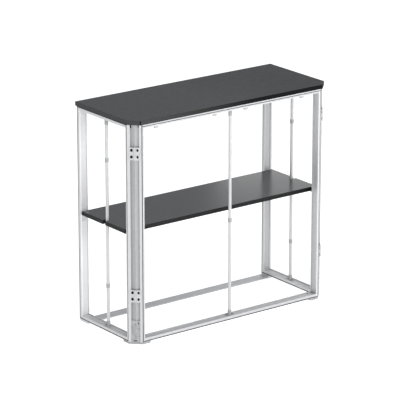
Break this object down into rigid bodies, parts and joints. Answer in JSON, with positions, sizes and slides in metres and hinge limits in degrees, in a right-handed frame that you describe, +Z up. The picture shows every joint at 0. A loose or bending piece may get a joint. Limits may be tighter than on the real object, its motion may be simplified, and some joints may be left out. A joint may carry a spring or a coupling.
{
  "type": "exhibition counter",
  "caption": "Folding exhibition counter: aluminium frames hinged at two cut front corners, open back, black tabletop and notched mid shelf, with slim upright poles.",
  "frame": {"origin": "on the floor, under the middle of the tabletop", "axes": "+X along the front to the visitor's right as seen from the front, +Y from the front to the open back, +Z up"},
  "size_m": [1.07, 0.426, 1],
  "materials": {
    "frame_aluminium": "satin anodised extrusion",
    "board_laminate": "black laminate on board, satin",
    "pole_tube": "pale satin tube",
    "grey_plastic": "moulded, fine matt",
    "plated_steel": "pressed, plated",
    "grey_paint": "light grey, slightly mottled",
    "black_screw": "blackened steel screws, satin"
  },
  "bodies": {
    "front_frame": {"front_left_stile": "frame_aluminium", "front_right_stile": "frame_aluminium", "front_bottom_rail": "frame_aluminium", "front_top_rail": "frame_aluminium", "front_pole_bottom_socket": "grey_plastic", "front_pole_top_socket": "grey_plastic", "left_foot_plate": "grey_paint", "left_corner_infill_front": "grey_paint", "left_upper_hinge_front_leaf": "plated_steel", "left_upper_hinge_pin": "plated_steel", "left_lower_hinge_front_leaf": "plated_steel", "left_lower_hinge_pin": "plated_steel", "right_foot_plate": "grey_paint", "right_corner_infill_front": "grey_paint", "right_upper_hinge_front_leaf": "plated_steel", "right_upper_hinge_pin": "plated_steel", "right_lower_hinge_front_leaf": "plated_steel", "right_lower_hinge_pin": "plated_steel"},
    "left_frame": {"left_corner_stile": "frame_aluminium", "left_bottom_rail": "frame_aluminium", "left_top_rail": "frame_aluminium", "left_back_stile": "frame_aluminium", "left_pole_bottom_socket": "grey_plastic", "left_pole_top_socket": "grey_plastic", "left_front_shelf_bracket": "plated_steel", "left_back_shelf_bracket": "plated_steel", "left_upper_hinge_side_leaf": "plated_steel", "left_lower_hinge_side_leaf": "plated_steel", "left_corner_infill_side": "grey_paint"},
    "right_frame": {"right_corner_stile": "frame_aluminium", "right_bottom_rail": "frame_aluminium", "right_top_rail": "frame_aluminium", "right_back_stile": "frame_aluminium", "right_pole_bottom_socket": "grey_plastic", "right_pole_top_socket": "grey_plastic", "right_front_shelf_bracket": "plated_steel", "right_back_shelf_bracket": "plated_steel", "right_upper_hinge_side_leaf": "plated_steel", "right_lower_hinge_side_leaf": "plated_steel", "right_corner_infill_side": "grey_paint"},
    "tabletop": {"tabletop": "board_laminate"},
    "shelf": {"shelf": "board_laminate"},
    "back_bar": {"back_bar": "frame_aluminium"},
    "front_pole": {"front_pole_lower_tube": "pole_tube", "front_pole_upper_tube": "pole_tube", "front_pole_collar": "grey_plastic"},
    "left_pole": {"left_pole_lower_tube": "pole_tube", "left_pole_middle_tube": "pole_tube", "left_pole_upper_tube": "pole_tube", "left_pole_lower_collar": "grey_plastic", "left_pole_upper_collar": "grey_plastic"},
    "right_pole": {"right_pole_lower_tube": "pole_tube", "right_pole_middle_tube": "pole_tube", "right_pole_upper_tube": "pole_tube", "right_pole_lower_collar": "grey_plastic", "right_pole_upper_collar": "grey_plastic"},
    "turn_button_1": {"turn_button_1": "grey_plastic"},
    "turn_button_2": {"turn_button_2": "grey_plastic"},
    "turn_button_3": {"turn_button_3": "grey_plastic"},
    "turn_button_4": {"turn_button_4": "grey_plastic"}
  },
  "joints": [
    {"name": "left_frame_swing", "type": "hinge", "parent": "front_frame", "child": "left_frame", "pos_m": [-0.51012, -0.18812, 0.4], "axis": [0, 0, 1], "range_deg": [0, 90]},
    {"name": "right_frame_swing", "type": "hinge", "parent": "front_frame", "child": "right_frame", "pos_m": [0.51012, -0.18812, 0.4], "axis": [0, 0, -1], "range_deg": [0, 90]},
    {"name": "tabletop_lift", "type": "slide", "parent": "front_frame", "child": "tabletop", "axis": [0, 0, 1], "range_m": [0, 0.12]},
    {"name": "shelf_lift", "type": "slide", "parent": "front_frame", "child": "shelf", "axis": [0, 0, 1], "range_m": [0, 0.1]},
    {"name": "back_bar_draw", "type": "slide", "parent": "front_frame", "child": "back_bar", "axis": [0, 1, 0], "range_m": [0, 0.08]},
    {"name": "front_pole_turn", "type": "hinge", "parent": "front_frame", "child": "front_pole", "pos_m": [0, -0.185, 0.5], "axis": [0, 0, 1], "continuous": true},
    {"name": "left_pole_turn", "type": "hinge", "parent": "left_frame", "child": "left_pole", "pos_m": [-0.507, 0.0195, 0.5], "axis": [0, 0, 1], "continuous": true},
    {"name": "right_pole_turn", "type": "hinge", "parent": "right_frame", "child": "right_pole", "pos_m": [0.507, 0.0195, 0.5], "axis": [0, 0, 1], "continuous": true},
    {"name": "turn_button_1_turn", "type": "hinge", "parent": "front_frame", "child": "turn_button_1", "pos_m": [-0.395, -0.185, 0.96], "axis": [0, 0, 1], "range_deg": [0, 90]},
    {"name": "turn_button_2_turn", "type": "hinge", "parent": "front_frame", "child": "turn_button_2", "pos_m": [-0.084, -0.185, 0.96], "axis": [0, 0, 1], "range_deg": [0, 90]},
    {"name": "turn_button_3_turn", "type": "hinge", "parent": "front_frame", "child": "turn_button_3", "pos_m": [0.084, -0.185, 0.96], "axis": [0, 0, 1], "range_deg": [0, 90]},
    {"name": "turn_button_4_turn", "type": "hinge", "parent": "front_frame", "child": "turn_button_4", "pos_m": [0.395, -0.185, 0.96], "axis": [0, 0, 1], "range_deg": [0, 90]}
  ]
}
